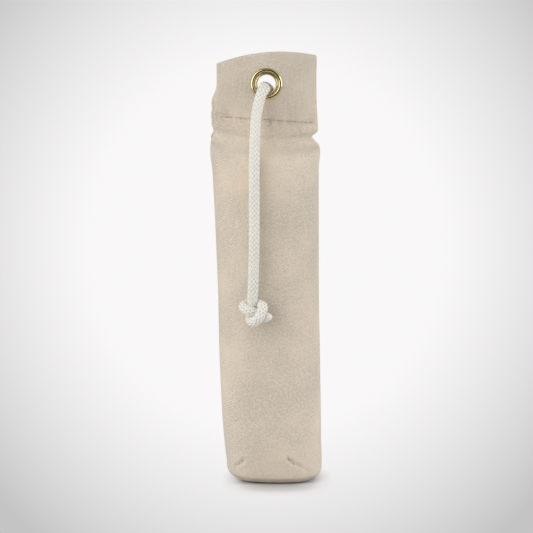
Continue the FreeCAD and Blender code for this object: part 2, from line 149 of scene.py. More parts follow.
def add_tube(made, centres, wide, thick, half_width, half_thickness, run, sides, round_m):
    """Add a tube with closed ends to the points, faces and flat places of a mesh.

    run is how far along the flat pattern each centre lies, and round_m is the pattern's width round the tube.
    """
    points, faces, uvs = made
    base, rings = len(points), len(centres)
    half_width, half_thickness = (np.broadcast_to(half, rings) for half in (half_width, half_thickness))
    for centre, w, h, half_w, half_h in zip(centres, wide, thick, half_width, half_thickness):
        for side in range(sides):
            angle = TAU * side / sides
            points.append(centre + w * half_w * math.cos(angle) + h * half_h * math.sin(angle))
    faces += ring_quads(rings, sides, base)
    for low, high in zip(run[:-1] * MM, run[1:] * MM):
        for side in range(sides):
            left, right = side / sides * round_m, (side + 1) / sides * round_m
            uvs.extend([(left, low), (right, low), (right, high), (left, high)])
    for ring in (0, rings - 1):
        cap = range(base + ring * sides, base + (ring + 1) * sides)
        faces.append(tuple(reversed(cap)) if ring == 0 else tuple(cap))
        uvs.extend([(0.0, run[ring] * MM)] * sides)


def stand_off(placed, aim_m, azimuth, elevation, distance_m):
    """Put a camera, light or card at a distance from an aim point, facing it. Azimuth -90 is the left."""
    around, up = math.radians(azimuth), math.radians(elevation)
    back = Vector((math.sin(around) * math.cos(up), -math.cos(around) * math.cos(up), math.sin(up)))
    placed.location = Vector(aim_m) + back * distance_m
    placed.rotation_euler = (-back).to_track_quat("-Z", "Y").to_euler()


def hide_from(piece, *rays):
    for ray in rays:
        setattr(piece, "visible_" + ray, False)


# ---------------------------------------------------------------- materials

class Shader:
    """A material's nodes, added one at a time. An input takes a number, a colour or a node's output."""

    def __init__(self, name):
        self.material = bpy.data.materials.new(name)
        self.material.use_nodes = True
        self.tree = self.material.node_tree
        self.tree.nodes.clear()
        self.output = self.tree.nodes.new("ShaderNodeOutputMaterial")

    def node(self, kind, inputs=None, **settings):
        made = self.tree.nodes.new("ShaderNode" + kind)
        for name, value in settings.items():
            setattr(made, name, value)
        for name, value in (inputs or {}).items():
            self.feed(made.inputs[name], value)
        return made

    def feed(self, socket, value):
        if isinstance(value, bpy.types.NodeSocket):
            self.tree.links.new(value, socket)
        else:
            socket.default_value = value

    def math(self, operation, first, second=0.0):
        return self.node("Math", {0: first, 1: second}, operation=operation).outputs[0]

    def plus(self, first, second):
        return self.math("ADD", first, second)

    def minus(self, first, second):
        return self.math("SUBTRACT", first, second)

    def times(self, first, second):
        return self.math("MULTIPLY", first, second)

    def ramp(self, value, low, high, start=0.0, end=1.0):
        """value between low and high, moved to between start and end, and held there outside."""
        made = self.node("MapRange", {0: value, 1: low, 2: high, 3: start, 4: end})
        return made.outputs[0]

    def mix(self, share, first, second, blend="MIX"):
        made = self.node("Mix", data_type="RGBA", blend_type=blend)
        for index, value in ((0, share), (6, first), (7, second)):
            self.feed(made.inputs[index], value)
        return made.outputs[2]

    def flat_place(self):
        """Where a point lies on the flat pattern, in metres: across, along."""
        place = self.node("UVMap", uv_map="flat").outputs[0]
        parts = self.node("SeparateXYZ", {0: place})
        return place, parts.outputs[0], parts.outputs[1]

    def object_place(self):
        return self.node("TexCoord").outputs["Object"]

    def scaled(self, place, x, y):
        return self.node("Mapping", {"Vector": place, "Scale": (x, y, 1)}).outputs[0]

    def noise(self, place, scale, detail=2.0, roughness=0.5, distortion=0.0):
        return self.node("TexNoise", {
            "Vector": place, "Scale": scale, "Detail": detail, "Roughness": roughness,
            "Distortion": distortion,
        }).outputs[0]

    def bumped(self, height, distance, strength=1.0, normal=None):
        inputs = {"Height": height, "Distance": distance, "Strength": strength}
        if normal is not None:
            inputs["Normal"] = normal
        return self.node("Bump", inputs).outputs[0]

    def principled(self, **inputs):
        named = {name.replace("_", " "): value for name, value in inputs.items()}
        made = self.node("BsdfPrincipled", named)
        self.tree.links.new(made.outputs[0], self.output.inputs[0])
        return self.material


def tinted(tone, red, green=None, blue=None):
    """A tone with its parts multiplied. Green follows red, and blue green, where they aren't given."""
    green = red if green is None else green
    blue = green if blue is None else blue
    return tone[0] * red, tone[1] * green, tone[2] * blue, 1


def canvas_material(tone, weave_m=0.00090):
    """Natural cotton duck: a plain weave of uneven yarns, with slubs, seed flecks and soft blotches."""
    shader = Shader("canvas")
    place, across, along = shader.flat_place()
    wander = shader.times(shader.minus(shader.noise(place, 140, 2), 0.5), weave_m * 1.2)
    warp = shader.math("SINE", shader.times(shader.plus(across, wander), math.pi / weave_m))
    weft = shader.math("SINE", shader.times(shader.minus(along, wander), math.pi / weave_m))
    crossing = shader.times(warp, weft)
    knuckle = shader.math("POWER", shader.math("ABSOLUTE", crossing), 0.6)

    # Slubs are thick places, each long in the direction of the yarn that lies on top.
    warp_slub = shader.noise(shader.scaled(place, 1500, 45), 1.0, 3, 0.6)
    weft_slub = shader.noise(shader.scaled(place, 45, 1500), 1.0, 3, 0.6)
    over = shader.ramp(crossing, -0.25, 0.25)
    slub = shader.node("Mix", {0: over, 2: weft_slub, 3: warp_slub}).outputs[0]
    pebble = shader.noise(place, 620, 3, 0.7)
    blotch = shader.noise(shader.object_place(), 22, 3, 0.55)

    gap = tinted(tone, 0.50)
    colour = shader.mix(shader.ramp(slub, 0.30, 0.70), tinted(tone, 0.88, 0.88, 0.83), tinted(tone, 1.10))
    colour = shader.mix(shader.ramp(crossing, -0.5, 0.5, 0.54, 0.0), colour, gap)
    colour = shader.mix(shader.ramp(knuckle, 0.05, 0.75, 0.30, 0.0), colour, gap)
    colour = shader.mix(shader.ramp(pebble, 0.38, 0.64, 0.0, 0.58), colour, gap)
    colour = shader.mix(shader.ramp(blotch, 0.42, 0.68, 0.0, 0.45), colour, tinted(tone, 1.04, 0.97, 0.90))
    fleck = shader.node("TexVoronoi", {"Vector": place, "Scale": 95.0}).outputs["Distance"]
    seed = shader.times(shader.ramp(fleck, 0.03, 0.055, 0.55, 0.0),
                        shader.ramp(shader.noise(place, 60, 1), 0.52, 0.60))
    colour = shader.mix(seed, colour, (0.16, 0.10, 0.05, 1))

    # Painted shade: the canvas near the base and on the tab is a little darker, where the light falls off.
    tall = shader.node("SeparateXYZ", {0: shader.object_place()}).outputs[2]
    painted_shade = shader.plus(shader.ramp(tall, 0.004, 0.040, 0.28, 0.0),
                         shader.ramp(tall, 0.250, 0.264, 0.0, 0.18))
    colour = shader.mix(painted_shade, colour, gap)

    height = shader.plus(shader.times(knuckle, 0.8), shader.times(slub, 0.9))
    normal = shader.bumped(pebble, 0.0004, 0.45, shader.bumped(height, 0.00022, 0.9))
    return shader.principled(
        Base_Color=colour, Normal=normal, Roughness=shader.ramp(slub, 0.3, 0.7, 0.86, 0.97),
        Specular_IOR_Level=0.22, Sheen_Weight=0.12, Sheen_Roughness=0.55,
    )


def yarn_material(name, tone, twist, thread_m, strand_m):
    """Twisted yarn, side by side along a strand of radius strand_m: across runs round it, and along down it.

    Painted shade: the strand's two edges, which press against its neighbours, are darker than its back.
    """
    shader = Shader(name)
    place, across, along = shader.flat_place()
    lay = shader.plus(across, shader.times(along, twist))
    ply = shader.math("SINE", shader.times(lay, TAU / thread_m))
    fibre = shader.noise(shader.scaled(place, 9000, 420), 1.0, 2, 0.6)
    fade = shader.noise(shader.object_place(), 160, 2)
    side = shader.math("ABSOLUTE", shader.math("COSINE", shader.math("DIVIDE", across, strand_m)))
    edge = shader.math("POWER", side, 4.0)
    deep = tinted(tone, 0.80, 0.80, 0.74)
    colour = shader.mix(shader.ramp(ply, -1.0, 0.2, 0.55, 0.0), tinted(tone, 1.0), deep)
    colour = shader.mix(shader.ramp(fibre, 0.35, 0.65, 0.22, 0.0), colour, deep)
    colour = shader.mix(shader.ramp(fade, 0.4, 0.7, 0.0, 0.3), colour, tinted(tone, 1.0, 0.985, 0.94))
    # Painted shade: the strand's edges are mixed towards a dark tone for the shade in the grooves between
    # strands.
    colour = shader.mix(shader.ramp(edge, 0.15, 1.0, 0.0, 0.58), colour, tinted(tone, 0.36, 0.36, 0.30))
    height = shader.plus(shader.times(ply, 0.5), fibre)
    return shader.principled(
        Base_Color=colour, Normal=shader.bumped(height, thread_m * 0.22, 0.6),
        Roughness=shader.ramp(fibre, 0.3, 0.7, 0.62, 0.80), Specular_IOR_Level=0.35,
        Sheen_Weight=0.15, Sheen_Roughness=0.4,
    )


def melted_material():
    """The rope's cut end, sealed with a flame: the fibres have run together into waxy plastic."""
    shader = Shader("melted_end")
    place = shader.object_place()
    run = shader.noise(place, 420, 3, 0.6, 0.4)
    scorch = shader.noise(place, 900, 2)
    colour = shader.mix(shader.ramp(run, 0.35, 0.7), (0.80, 0.79, 0.73, 1), (0.72, 0.71, 0.63, 1))
    colour = shader.mix(shader.ramp(scorch, 0.66, 0.78, 0.0, 0.4), colour, (0.42, 0.33, 0.22, 1))
    return shader.principled(
        Base_Color=colour, Normal=shader.bumped(run, 0.0005, 0.5),
        Roughness=shader.ramp(run, 0.3, 0.7, 0.32, 0.5), Subsurface_Weight=0.15, Subsurface_Scale=0.002,
    )


def brass_material():
    """Rolled brass with faint turning lines, a thin tarnish and rubbed patches."""
    shader = Shader("brass")
    local = shader.node("VectorMath", {0: shader.object_place(), 1: tuple(EYELET * MM)}, operation="SUBTRACT")
    x, y, z = shader.node("SeparateXYZ", {0: local.outputs[0]}).outputs
    radius = shader.math("SQRT", shader.plus(shader.times(x, x), shader.times(z, z)))
    turning = shader.noise(shader.node("CombineXYZ", {0: radius, 1: y}).outputs[0], 9000, 2)
    tarnish = shader.noise(local.outputs[0], 260, 4, 0.6)
    tarnished = shader.ramp(tarnish, 0.45, 0.72, 0.0, 0.5)
    colour = shader.mix(tarnished, (0.88, 0.74, 0.42, 1), (0.58, 0.44, 0.20, 1))
    height = shader.plus(shader.times(turning, 0.5), tarnish)
    return shader.principled(
        Base_Color=colour, Metallic=1.0, Roughness=shader.ramp(tarnish, 0.35, 0.75, 0.11, 0.26),
        Normal=shader.bumped(height, 0.00005, 0.08),
    )


def foam_material():
    """Closed-cell buoyancy foam, which the cover hides."""
    shader = Shader("foam")
    cells = shader.node("TexVoronoi", {"Vector": shader.object_place(), "Scale": 520.0}).outputs["Distance"]
    inside = shader.ramp(cells, 0.1, 0.6)
    colour = shader.mix(inside, (0.42, 0.45, 0.47, 1), (0.66, 0.69, 0.70, 1))
    return shader.principled(Base_Color=colour, Normal=shader.bumped(cells, 0.0008, 0.7), Roughness=0.88)


# ---------------------------------------------------------------- camera, stage and light

CAMERA_DISTANCE_M = 1.5
CAMERA_ELEVATION = 8.0
CAMERA_AIM_M = (0.0, 0.0, 0.1530)
SENSOR = 36.0
VIEW_WIDTH_M = 0.3783      # what the frame spans at the aim point
# The ground's bright oval, in the main camera's view: about where that camera stands, the oval's half width
# and middle as slopes, and one over its half height.
OVAL_EYE_AWAY_M, OVAL_EYE_TALL_M = 1.49, 0.36
OVAL_HALF_WIDTH, OVAL_MIDDLE, OVAL_TALLNESS = 0.125, 0.130, 7.6
FLOOR_RADIUS_M = 0.12


def add_camera():
    """The camera stands in front of the face with the rope, a little above the middle of the bumper."""
    data = bpy.data.cameras.new("camera")
    data.sensor_width = SENSOR
    data.lens = SENSOR * CAMERA_DISTANCE_M / VIEW_WIDTH_M
    camera = bpy.data.objects.new("camera", data)
    stand_off(camera, CAMERA_AIM_M, 0, CAMERA_ELEVATION, CAMERA_DISTANCE_M)
    bpy.context.scene.collection.objects.link(camera)
    bpy.context.scene.camera = camera


def turned_surface(name, profile_m, material, steps=96):
    """A surface turned round the Z axis from (radius, height) points in metres."""
    points = []
    for radius, height in profile_m:
        for angle in TAU * np.arange(steps) / steps:
            points.append((radius * math.cos(angle) / MM, radius * math.sin(angle) / MM, height / MM))
    return make_object(name, points, ring_quads(len(profile_m), steps), material)


def pool_of_light(shader, centre, edge):
    """Brightness of the ground: an oval of the main camera's view, projected on it from that camera's place.

    The place is written in as numbers, so the oval keeps still in other views. It isn't any lamp's light.
    """
    x, y, z = shader.node("SeparateXYZ", {0: shader.object_place()}).outputs
    reach = shader.times(shader.plus(y, CAMERA_DISTANCE_M), OVAL_HALF_WIDTH)
    sideways = shader.math("DIVIDE", x, reach)
    drop = shader.math("DIVIDE", shader.minus(OVAL_EYE_TALL_M, z), shader.plus(y, OVAL_EYE_AWAY_M))
    forwards = shader.times(shader.minus(drop, OVAL_MIDDLE), OVAL_TALLNESS)
    square = shader.plus(shader.times(sideways, sideways), shader.times(forwards, forwards))
    return shader.ramp(square, 0.45, 1.92, centre, edge)


def nearness(shader, centre_m, half_m):
    """1 on a rounded rectangle round the place where the bumper stands, less inside it and more outside."""
    parts = shader.node("SeparateXYZ", {0: shader.object_place()})
    powers = []
    for output, middle, half in zip(parts.outputs, centre_m, half_m):
        share = shader.math("DIVIDE", shader.math("ABSOLUTE", shader.minus(output, middle)), half)
        powers.append(shader.math("POWER", share, 3.0))
    return shader.math("POWER", shader.plus(*powers), 1 / 3)


def near_white(shader, level):
    """The ground's colour at a brightness, with a trace less green and blue."""
    parts = {0: level, 1: shader.times(level, 0.985), 2: shader.times(level, 0.992)}
    return shader.node("CombineColor", parts).outputs[0]


def add_stage():
    """A pale floor, lit at the bumper's foot and glowing beyond, and a glowing sweep for the camera only."""
    floor = Shader("floor")
    grain = floor.noise(floor.object_place(), 300, 3)
    near = nearness(floor, (0.0080, -0.010), (0.026, 0.032))
    # Painted shadow: the floor's colour is darkened under the foot, down to 0.55 of its brightness, which
    # deepens the contact shadow.
    shade = floor.times(pool_of_light(floor, 0.885, 0.58), floor.ramp(near, 0.45, 1.25, 0.55, 1.0))
    lit = floor.node("BsdfDiffuse", {"Color": near_white(floor, shade),
                                     "Normal": floor.bumped(grain, 0.0002, 0.2)})
    glow_colour = near_white(floor, pool_of_light(floor, 0.947, 0.56))
    glow = floor.node("Emission", {"Color": glow_colour, "Strength": 1.0})
    blend = floor.node("MixShader", {0: floor.ramp(near, 0.95, 1.55), 1: lit.outputs[0], 2: glow.outputs[0]})
    floor.tree.links.new(blend.outputs[0], floor.output.inputs[0])

    disc = [(radius, 0) for radius in (0.0005, 0.04, 0.08, FLOOR_RADIUS_M)]
    turned_surface("floor", disc, floor.material)
    flat = [(radius, 0) for radius in (FLOOR_RADIUS_M, 0.3, 0.6, 0.9)]
    bend = [(1.3 + 1.1 * math.sin(a), 1.1 - 1.1 * math.cos(a)) for a in np.linspace(0, math.pi / 2, 16)]
    sweep = turned_surface("sweep", flat + bend + [(2.4, 3.2)], floor.material)
    hide_from(sweep, "diffuse", "glossy", "transmission", "shadow")


def area_light(name, azimuth, elevation, distance_m, size_m, watts, aim_m=(0, 0, 0.16), colour=(1, 1, 1)):
    """A soft box that the camera doesn't see."""
    data = bpy.data.lights.new(name, "AREA")
    data.shape = "RECTANGLE"
    data.size, data.size_y = size_m
    data.energy = watts
    data.color = colour
    light = bpy.data.objects.new(name, data)
    stand_off(light, aim_m, azimuth, elevation, distance_m)
    hide_from(light, "camera")
    bpy.context.scene.collection.objects.link(light)


def flag(name, azimuth, elevation, distance_m, size_m):
    """A black card that only mirrors show, so that the brass has dark bands between its bright ones."""
    black = Shader(name).principled(Base_Color=(0.02, 0.017, 0.012, 1), Roughness=0.9)
    half_x, half_y = size_m[0] / 2 / MM, size_m[1] / 2 / MM
    corners = [(-half_x, -half_y, 0), (half_x, -half_y, 0), (half_x, half_y, 0), (-half_x, half_y, 0)]
    card = make_object(name, corners, [(0, 1, 2, 3)], black)
    stand_off(card, (0, 0, 0.28), azimuth, elevation, distance_m)
    hide_from(card, "camera", "diffuse", "transmission", "shadow")


def add_light():
    world = bpy.data.worlds.new("studio")
    world.use_nodes = True
    background = world.node_tree.nodes["Background"]
    background.inputs[0].default_value = (1.0, 0.99, 0.985, 1)
    background.inputs[1].default_value = 0.56
    bpy.context.scene.world = world
    bpy.context.scene.view_settings.view_transform = "Standard"
    area_light("key", -50, 17, 1.3, (1.5, 1.5), 12.4, aim_m=(0, 0, 0.19), colour=(1.0, 0.985, 0.96))
    area_light("right", 80, 12, 1.3, (0.7, 0.9), 8.6, aim_m=(0, 0, 0.19))
    area_light("top", 10, 74, 1.2, (0.7, 0.7), 1.6)
    flag("flag_front", 0, 0, 0.9, (1.3, 1.3))
    flag("flag_top", 0, 72, 0.8, (1.1, 0.7))


# ---------------------------------------------------------------- rope

# The rope's route, from behind the eyelet, over its lower lip and down in front of the canvas.
ROPE_ROUTE = [
    (4.2, 13.6, 271.2), (2.0, 9.6, 280.1), (-2.6, -10.6, 280.1), (-7.4, -18.4, 262.6), (-8.3, -28.4, 240.0),
    (-8.6, -34.4, 212.0), (-8.4, -36.4, 180.0), (-9.0, -37.0, 152.0), (-9.6, -36.8, 131.0),
]
ROPE_DIAMETER = 7.8
STRANDS = 8                # in each direction of the braid
BRAID_PITCH = 27.0         # length in which a strand goes once round
STRAND_WIDTH, STRAND_THICKNESS = 2.15, 1.35
PATH_STEP = 0.6


def route_line():
    """Points read from one NURBS spline that has the route's points as its control points."""
    data = bpy.data.curves.new("route", "CURVE")
    data.dimensions = "3D"
    data.resolution_u = 40
    spline = data.splines.new("NURBS")
    spline.points.add(len(ROPE_ROUTE) - 1)
    for point, place in zip(spline.points, ROPE_ROUTE):
        point.co = (*(MM * part for part in place), 1.0)
    spline.order_u = 3
    spline.use_endpoint_u = True
    holder = bpy.data.objects.new("route", data)
    line = bpy.data.meshes.new_from_object(holder)
    points = np.array([v.co for v in line.vertices], float) / MM
    bpy.data.objects.remove(holder)
    return points


def even_points(points, step):
    """The same line with points a step apart."""
    run = arc_length(points)
    at = np.linspace(0, run[-1], max(3, int(round(run[-1] / step)) + 1))
    return np.stack([np.interp(at, run, points[:, k]) for k in range(3)], 1)


def relaxed(points, rounds, strength):
    """The same line with its inner points drawn towards their neighbours' middles, each by its strength."""
    points = points.copy()
    for _ in range(rounds):
        middle = (points[:-2] + points[2:]) / 2 - points[1:-1]
        points[1:-1] += strength[1:-1, None] * middle
    return points


def carried_frames(points, first_normal):
    """Along, outward and sideways directions at each point, carried along the line with no twist."""
    along = np.gradient(points, axis=0)
    along /= np.linalg.norm(along, axis=1)[:, None]
    outward = np.zeros_like(points)
    normal = np.asarray(first_normal, float)
    for index, tangent in enumerate(along):
        normal = normal - tangent * (normal @ tangent)
        normal /= np.linalg.norm(normal)
        outward[index] = normal
    return along, outward, np.cross(along, outward)


def tight_overhand(beads=76, gap=0.3, rounds=700):
    """Centreline of an overhand knot drawn tight in a rope of diameter 1, pulled at both ends.

    The rope is a chain of beads. Each round draws the ends out a little, then restores the chain's gaps,
    pushes touching stretches apart and irons out kinks, until the knot jams.
    """
    t = np.linspace(-2.12, 2.12, 2000)
    loose = np.stack([t ** 3 - 3 * t, t ** 4 - 4 * t ** 2, 0.55 * (10 * t - t ** 5)], 1)
    run = arc_length(loose)
    at = np.linspace(0, run[-1], beads)
    chain = np.stack([np.interp(at, run, loose[:, k]) for k in range(3)], 1) * gap * (beads - 1) / run[-1]
    first, second = np.triu_indices(beads, 4)
    pull = np.array([(0, 0, 1), (0.542, 0.542, 0.643)])
    draw = 0.06
    for number in range(rounds):
        chain[[0, -1]] += pull * draw
        for _ in range(6):
            for start in (0, 1):
                link = chain[1:] - chain[:-1]
                fix = link * (1 - gap / np.linalg.norm(link, axis=1)[:, None]) * 0.5
                chain[:-1][start::2] += fix[start::2]
                chain[1:][start::2] -= fix[start::2]
            apart = chain[first] - chain[second]
            square = np.einsum("ij,ij->i", apart, apart)
            near = square < 1
            distance = np.sqrt(square[near])[:, None]
            push = apart[near] / distance * (1 - distance) * 0.35
            np.add.at(chain, first[near], push)
            np.add.at(chain, second[near], -push)
            chain[1:-1] += 0.08 * ((chain[:-2] + chain[2:]) / 2 - chain[1:-1])
        taut = np.linalg.norm(chain[1:] - chain[:-1], axis=1).mean() > 1.04 * gap
        draw = -0.01 if taut else (0.06 if number < 0.8 * rounds else 0.01)
    return chain


def braid(name, line, first, last, material, squeeze):
    """Strands plaited round a line between two of its points, over a core that fills the middle.

    squeeze holds two factors for each point: across the outward direction and across the sideways one.
    """
    _, outward, sideways = carried_frames(line, (0.0, 0.2, 1.0))
    run = arc_length(line)
    turn = TAU / BRAID_PITCH
    wave = 0.5 * STRAND_THICKNESS * 0.78
    middle = ROPE_DIAMETER / 2 - STRAND_THICKNESS / 2 - wave
    made = ([], [], [])
    span = slice(first, last + 1)
    for direction in (1, -1):
        for strand in range(STRANDS):
            angle = direction * turn * run + TAU * strand / STRANDS
            lift = middle + direction * wave * np.cos(STRANDS * turn * run)
            radial = (outward * (np.cos(angle) * squeeze[:, 0])[:, None]
                      + sideways * (np.sin(angle) * squeeze[:, 1])[:, None])
            centres = line + radial * lift[:, None]
            heading = np.gradient(centres, axis=0)
            heading /= np.linalg.norm(heading, axis=1)[:, None]
            thick = radial - heading * np.einsum("ij,ij->i", radial, heading)[:, None]
            thick /= np.linalg.norm(thick, axis=1)[:, None]
            wide = np.cross(thick, heading)
            add_tube(made, centres[span], wide[span], thick[span], STRAND_WIDTH / 2, STRAND_THICKNESS / 2,
                     run[span], 8, TAU * STRAND_WIDTH / 2 * MM)
    core = middle - 0.1
    add_tube(made, line[span], sideways[span] * squeeze[span, 1:], outward[span] * squeeze[span, :1],
             core, core, run[span], 16, TAU * core * MM)
    points, faces, uvs = made
    return make_object(name, points, faces, material, uvs)


# ---------------------------------------------------------------- eyelet

def lathe(name, profile, material, steps=120, rounding=4):
    """A closed ring turned round the eyelet's axis, from (radius, depth) points joined by a smooth curve."""
    profile = np.asarray(profile, float)
    count = len(profile)
    share = np.arange(count * rounding) / rounding
    index = share.astype(int)
    t = (share - index)[:, None]
    before, start, end, after = (profile[(index + k) % count] for k in (-1, 0, 1, 2))
    curve = 0.5 * (2 * start + (end - before) * t + (2 * before - 5 * start + 4 * end - after) * t ** 2
                   + (3 * start - before - 3 * end + after) * t ** 3)
    angle = TAU * np.arange(steps) / steps
    points = np.stack([
        EYELET[0] + np.outer(np.cos(angle), curve[:, 0]),
        np.tile(curve[:, 1], (steps, 1)),
        EYELET[2] + np.outer(np.sin(angle), curve[:, 0]),
    ], -1).reshape(-1, 3)
    return make_object(name, points, ring_quads(steps, len(curve), closed=True), material)


def add_eyelet(brass):
    """The eyelet: a domed flange with a rolled inner lip in front, and a curl over the washer behind."""
    low, high = box_mm("eyelet")
    bore, front, back = 6.4, low[1], high[1]
    rim = (high[0] - low[0]) / 2 - 0.35 - bore
    # Each point is how far it lies out from the bore, and in from the front or back.
    flange = [
        (0, 1.0), (0.16, 0.38), (0.62, 0.08), (1.12, 0.22), (1.55, 0.68), (2.0, 0.72), (2.6, 0.20),
        (3.3, 0.02), (4.1, 0.26), (rim - 0.25, 0.78), (rim, 1.16), (rim - 0.2, 1.30), (rim - 1.0, 1.12),
        (2.6, 1.06), (1.0, 1.25), (0.52, 1.9),
    ]
    curl = [(0.5, 1.5), (0.8, 0.85), (1.5, 0.52), (2.1, 0.45), (2.3, 0.25), (1.9, 0.04), (1.2, 0), (0.5, 0.3),
            (0.1, 1.1)]
    profile = ([(bore, back - 2.6), (bore, 0.0)] + [(bore + out, front + depth) for out, depth in flange]
               + [(bore + 0.5, 0.0)] + [(bore + out, back - depth) for out, depth in curl])
    barrel = lathe("eyelet_barrel", profile, brass)
    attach(barrel, "tab")
    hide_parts("eyelet")

    low, high = box_mm("eyelet_washer")
    rim = (high[0] - low[0]) / 2
    near, far = low[1], high[1]
    washer = lathe("eyelet_back_washer", [
        (bore + 0.65, near + 0.25), (bore + 0.8, far - 0.02), (bore + 1.8, far), (rim - 1.6, far - 0.02),
        (rim - 0.6, far - 0.18), (rim, near + 0.25), (rim - 0.1, near), (rim - 1.2, near + 0.02),
        (bore + 1.4, near + 0.02),
    ], brass)
    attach(washer, "tab")
    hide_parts("eyelet_washer")


# ---------------------------------------------------------------- canvas cover

# The cover is one tube of canvas. Its columns run up the tube, and each has a place on the flat pattern,
# measured round the tube from the middle of the left gusset: half that gusset, the front, the right gusset,
# the back, and the left gusset's other half.
HALF_GUSSET, HALF_FACE = 21.5, 34.5
QUARTER = HALF_GUSSET + HALF_FACE
GIRTH = 4 * QUARTER
# Across the stuffed part, at each height: its left and right edges, and half its depth.
BODY_HEIGHTS = (8.0, 30.0, 110.0, 165.0, 207.0, 224.0, 234.0, 240.0, 243.5, 246.3)
BODY_LEFT = (-28.6, -30.9, -33.8, -35.4, -37.4, -38.3, -39.2, -39.2, -38.2, -36.8)
BODY_RIGHT = (39.8, 39.2, 37.5, 36.9, 36.8, 37.0, 37.2, 36.8, 33.8, 31.2)
BODY_DEPTH = (24.0, 26.6, 27.6, 27.8, 27.2, 24.6, 19.6, 14.0, 9.0, 5.5)
SQUARENESS = 3.1           # power of the section's superellipse
EDGE_RADIUS = 5.6          # of the edge round the base
GABLE_FOOT = 234.0         # height at which the gussets start to fold in
TAB_FOOT = 246.3           # height from which the canvas lies flat
TUCK_TIP = 16.6            # how far from the middle a folded gusset reaches
PLY = 1.02                 # half the thickness of the turned-in canvas on each face of the tab
GUSSET_PLY = 0.42          # the same for the gusset's single canvas
FACE_MIDDLE, GUSSET_MIDDLE = 2.08, 0.56
SEAM_LEFT, SEAM_RIGHT = (-31.0, 259.7), (32.0, 255.5)
# The darts that box the base: where each starts, where its stitches end and where its crease dies away.
DARTS = (((-16.3, 17.6), (-22.4, 12.0), (-26.0, 8.6)), ((15.4, 18.8), (21.6, 13.4), (31.0, 8.0)))
FACING_FOOT = 252.0        # where the canvas that is turned into the tab ends
STRAIGHT_FOOT = 262.0      # above this, rows follow the top edge
HOLE_RADIUS = 8.3
# The cloth simulation that fills out the stuffed part: its pressure, its length, how far a point may move,
# and how coarse its copy is: its rows, and the columns to a step.
PRESSURE, FRAMES, REACH = 8.0, 20, 3.0
SACK_ROWS, SACK_STEP = 62, 3


def pattern_columns():
    """Places of the columns on the flat pattern, closest together at the corners and the gussets' folds."""
    quarter = np.concatenate([
        [0, 0.6, 1.3, 2.5], np.linspace(4.2, 18.2, 8), [19.4, 20.3, 21.0, 21.5, 22.0, 22.7, 23.6, 24.8],
        np.linspace(26.4, QUARTER, 30),
    ])
    half = np.concatenate([quarter, 2 * QUARTER - quarter[-2::-1]])
    return np.concatenate([half, half[1:-1] + 2 * QUARTER])


def crease_height(x):
    """The crease under the tab sags between its ends and climbs to the left."""
    x = np.asarray(x, float)
    return 244.0 + 1.9 * (x / 34 - 0.12) ** 2 + 3.2 * smooth_step(-x, 12, 38)


def top_height(x):
    """The tab's top edge is a long arc, highest right of the middle."""
    return 304.9 - (np.asarray(x, float) - 10) ** 2 / 242


def seam_height(x):
    return np.interp(x, (SEAM_LEFT[0], SEAM_RIGHT[0]), (SEAM_LEFT[1], SEAM_RIGHT[1]))


def stuffed_section(columns, left, right, depth):
    """Points round a superellipse, spread along it as the columns are along the pattern."""
    angle = np.linspace(0, TAU, 2881)
    half = (right - left) / 2
    cos, sin = -np.cos(angle), -np.sin(angle)
    x = half * np.sign(cos) * np.abs(cos) ** (2 / SQUARENESS) + (left + right) / 2
    y = depth * np.sign(sin) * np.abs(sin) ** (2 / SQUARENESS)
    run = np.concatenate([[0], np.cumsum(np.hypot(np.diff(x), np.diff(y)))])
    at = columns / GIRTH * run[-1]
    return np.stack([np.interp(at, run, x), np.interp(at, run, y)], 1)


def tab_edges(height):
    """At a height on the tab: left edge of the front face, left edge of the back one, right edge of both."""
    step = smooth_step(height, 284.0, 271.0)
    wobble = step * (0.30 * math.sin(height * 1.25) + 0.25 * math.sin(height * 0.55))
    notch = smooth_step(height, 250.5, TAB_FOOT)
    front = -34.2 - 1.9 * step + wobble + 0.6 * notch
    back = -34.3 - 3.5 * step - 0.4 * bump(height, 256, 4) + 0.6 * wobble + 1.0 * notch
    right = 34.4 + 0.9 * smooth_step(height, 272, 254) - 0.15 * bump(height, 284, 8) - 4.1 * notch
    return float(front), float(back), float(right)


def tab_section(columns, height):
    """Middle line and half thickness of the canvas round the tab, with its gussets folded in between.

    Each quarter runs from a gusset's fold, out to the tab's edge, round the corner and to a face's middle.
    """
    left, left_back, right = tab_edges(height)
    corner = HALF_GUSSET
    place = np.array([0, 0.5, 1.5, corner - 2, corner - 0.9, corner, corner + 1.0, corner + 2.2, QUARTER])
    depth = np.array([0, 0.42, GUSSET_MIDDLE, GUSSET_MIDDLE, 0.80, 1.30, 1.86, FACE_MIDDLE, FACE_MIDDLE])
    ply = np.array([GUSSET_PLY, GUSSET_PLY, GUSSET_PLY, GUSSET_PLY, 0.55, 0.85, PLY, PLY, PLY])
    quarters = []
    edges = ((left, -1, -1), (right, 1, -1), (right, 1, 1), (left_back, -1, 1))
    for number, (edge, side, face) in enumerate(edges):
        across = np.array([
            side * TUCK_TIP, side * (TUCK_TIP + 0.33), side * (TUCK_TIP + 1.1), edge - side * 1.3,
            edge - side * 0.25, edge, edge - side * 0.3, edge - side * 1.2, 0.0,
        ])
        start = number * QUARTER + place if number % 2 == 0 else (number + 1) * QUARTER - place
        quarters.append(np.stack([start, across, face * depth, ply]))
    table = np.concatenate(quarters, axis=1)
    table = table[:, np.argsort(table[0], kind="stable")]
    return tuple(np.interp(columns, table[0], row) for row in table[1:])


def face_of(columns):
    """-1 on the front half of the pattern, 1 on the back half."""
    return np.where(columns < 2 * QUARTER, -1, 1)


def from_corner(columns):
    """Distance on the pattern from the nearest corner: positive on a face, negative on a gusset."""
    folded = np.minimum(columns % (2 * QUARTER), 2 * QUARTER - columns % (2 * QUARTER))
    return folded - HALF_GUSSET


def base_lift(x, y):
    """The stuffed base bulges, so that it stands on its middle and its corners are off the floor."""
    return 5.0 * np.abs((x - 8.0) / 37) ** 2.8 + 1.4 * np.abs(y / 25) ** 3


